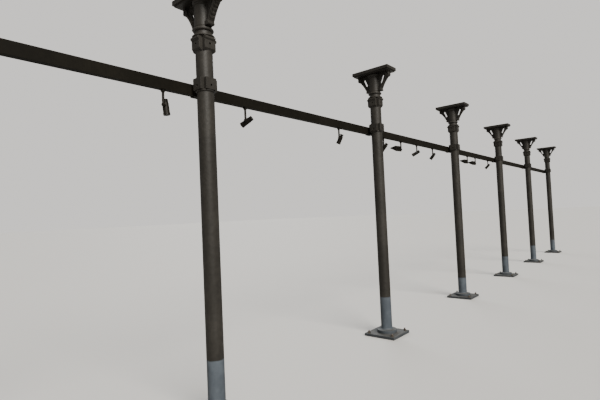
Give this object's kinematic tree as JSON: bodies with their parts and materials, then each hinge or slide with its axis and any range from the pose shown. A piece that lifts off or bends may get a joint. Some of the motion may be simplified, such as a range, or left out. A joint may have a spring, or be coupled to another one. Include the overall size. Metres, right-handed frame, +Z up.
{
  "type": "cast-iron mill column row with lighting beam",
  "caption": "Row of slender cast-iron mill columns with open-work bracket capitals, joined by a long box beam that carries turning and tilting spotlights.",
  "frame": {"origin": "on the floor at the middle of the row, under the axis of the fourth column", "axes": "+X along the row, +Y across it towards the side that carries the beam, +Z up"},
  "size_m": [20.3, 0.63, 4.14],
  "materials": {
    "column_iron": "dark grey satin paint over rough casting",
    "capital_iron": "dark grey satin paint over rough casting",
    "beam_steel": "matt charcoal paint",
    "bracket_steel": "matt charcoal paint",
    "adaptor_black": "matt black",
    "arm_black": "matt black",
    "lamp_black": "satin black powder coat"
  },
  "bodies": {
    "columns_and_beam": {"shaft_1": "column_iron", "shaft_2": "column_iron", "shaft_3": "column_iron", "shaft_4": "column_iron", "shaft_5": "column_iron", "shaft_6": "column_iron", "shaft_7": "column_iron", "capital_1": "capital_iron", "capital_2": "capital_iron", "capital_3": "capital_iron", "capital_4": "capital_iron", "capital_5": "capital_iron", "capital_6": "capital_iron", "capital_7": "capital_iron", "beam_1": "beam_steel", "beam_2": "beam_steel", "beam_3": "beam_steel", "beam_4": "beam_steel", "beam_5": "beam_steel", "beam_6": "beam_steel", "beam_brackets": "bracket_steel", "lamp_adaptors": "adaptor_black"},
    "lamp_1_arm": {"lamp_1_arm": "arm_black"},
    "lamp_1_head": {"lamp_1_head": "lamp_black"},
    "lamp_2_arm": {"lamp_2_arm": "arm_black"},
    "lamp_2_head": {"lamp_2_head": "lamp_black"},
    "lamp_3_arm": {"lamp_3_arm": "arm_black"},
    "lamp_3_head": {"lamp_3_head": "lamp_black"},
    "lamp_4_arm": {"lamp_4_arm": "arm_black"},
    "lamp_4_head": {"lamp_4_head": "lamp_black"},
    "lamp_5_arm": {"lamp_5_arm": "arm_black"},
    "lamp_5_head": {"lamp_5_head": "lamp_black"},
    "lamp_6_arm": {"lamp_6_arm": "arm_black"},
    "lamp_6_head": {"lamp_6_head": "lamp_black"},
    "lamp_7_arm": {"lamp_7_arm": "arm_black"},
    "lamp_7_head": {"lamp_7_head": "lamp_black"},
    "lamp_8_arm": {"lamp_8_arm": "arm_black"},
    "lamp_8_head": {"lamp_8_head": "lamp_black"},
    "lamp_9_arm": {"lamp_9_arm": "arm_black"},
    "lamp_9_head": {"lamp_9_head": "lamp_black"},
    "lamp_10_arm": {"lamp_10_arm": "arm_black"},
    "lamp_10_head": {"lamp_10_head": "lamp_black"}
  },
  "joints": [
    {"name": "lamp_1_turn", "type": "hinge", "parent": "columns_and_beam", "child": "lamp_1_arm", "pos_m": [-6.9861, 0.138, 3.126], "axis": [0, 0, 1], "range_deg": [-170, 170]},
    {"name": "lamp_1_tilt", "type": "hinge", "parent": "lamp_1_arm", "child": "lamp_1_head", "pos_m": [-6.9861, 0.138, 3], "axis": [-0.8192, -0.5736, 0], "range_deg": [-96, 4]},
    {"name": "lamp_2_turn", "type": "hinge", "parent": "columns_and_beam", "child": "lamp_2_arm", "pos_m": [-5.9565, 0.138, 3.126], "axis": [0, 0, 1], "range_deg": [-170, 170]},
    {"name": "lamp_2_tilt", "type": "hinge", "parent": "lamp_2_arm", "child": "lamp_2_head", "pos_m": [-5.9565, 0.138, 3], "axis": [-0.9272, -0.3746, 0], "range_deg": [-29, 71]},
    {"name": "lamp_3_turn", "type": "hinge", "parent": "columns_and_beam", "child": "lamp_3_arm", "pos_m": [-4.1448, 0.138, 3.126], "axis": [0, 0, 1], "range_deg": [-170, 170]},
    {"name": "lamp_3_tilt", "type": "hinge", "parent": "lamp_3_arm", "child": "lamp_3_head", "pos_m": [-4.1448, 0.138, 3], "axis": [-0.9613, -0.2756, 0], "range_deg": [-63, 37]},
    {"name": "lamp_4_turn", "type": "hinge", "parent": "columns_and_beam", "child": "lamp_4_arm", "pos_m": [-2.8512, 0.138, 3.126], "axis": [0, 0, 1], "range_deg": [-170, 170]},
    {"name": "lamp_4_tilt", "type": "hinge", "parent": "lamp_4_arm", "child": "lamp_4_head", "pos_m": [-2.8512, 0.138, 3], "axis": [-0.9848, -0.1736, 0], "range_deg": [-50, 50]},
    {"name": "lamp_5_turn", "type": "hinge", "parent": "columns_and_beam", "child": "lamp_5_arm", "pos_m": [-2.2308, 0.138, 3.126], "axis": [0, 0, 1], "range_deg": [-170, 170]},
    {"name": "lamp_5_tilt", "type": "hinge", "parent": "lamp_5_arm", "child": "lamp_5_head", "pos_m": [-2.2308, 0.138, 3], "axis": [-0.9848, 0.1736, 0], "range_deg": [-62, 38]},
    {"name": "lamp_6_turn", "type": "hinge", "parent": "columns_and_beam", "child": "lamp_6_arm", "pos_m": [-1.584, 0.138, 3.126], "axis": [0, 0, 1], "range_deg": [-170, 170]},
    {"name": "lamp_6_tilt", "type": "hinge", "parent": "lamp_6_arm", "child": "lamp_6_head", "pos_m": [-1.584, 0.138, 3], "axis": [-0.809, -0.5878, 0], "range_deg": [-28, 72]},
    {"name": "lamp_7_turn", "type": "hinge", "parent": "columns_and_beam", "child": "lamp_7_arm", "pos_m": [-0.8514, 0.138, 3.126], "axis": [0, 0, 1], "range_deg": [-170, 170]},
    {"name": "lamp_7_tilt", "type": "hinge", "parent": "lamp_7_arm", "child": "lamp_7_head", "pos_m": [-0.8514, 0.138, 3], "axis": [-0.9455, -0.3256, 0], "range_deg": [-51, 49]},
    {"name": "lamp_8_turn", "type": "hinge", "parent": "columns_and_beam", "child": "lamp_8_arm", "pos_m": [1.1748, 0.138, 3.126], "axis": [0, 0, 1], "range_deg": [-170, 170]},
    {"name": "lamp_8_tilt", "type": "hinge", "parent": "lamp_8_arm", "child": "lamp_8_head", "pos_m": [1.1748, 0.138, 3], "axis": [-0.9848, 0.1736, 0], "range_deg": [-58, 42]},
    {"name": "lamp_9_turn", "type": "hinge", "parent": "columns_and_beam", "child": "lamp_9_arm", "pos_m": [1.7457, 0.138, 3.126], "axis": [0, 0, 1], "range_deg": [-170, 170]},
    {"name": "lamp_9_tilt", "type": "hinge", "parent": "lamp_9_arm", "child": "lamp_9_head", "pos_m": [1.7457, 0.138, 3], "axis": [-0.9781, 0.2079, 0], "range_deg": [-62, 38]},
    {"name": "lamp_10_turn", "type": "hinge", "parent": "columns_and_beam", "child": "lamp_10_arm", "pos_m": [2.7456, 0.138, 3.126], "axis": [0, 0, 1], "range_deg": [-170, 170]},
    {"name": "lamp_10_tilt", "type": "hinge", "parent": "lamp_10_arm", "child": "lamp_10_head", "pos_m": [2.7456, 0.138, 3], "axis": [-0.9397, -0.342, 0], "range_deg": [-45, 55]}
  ]
}
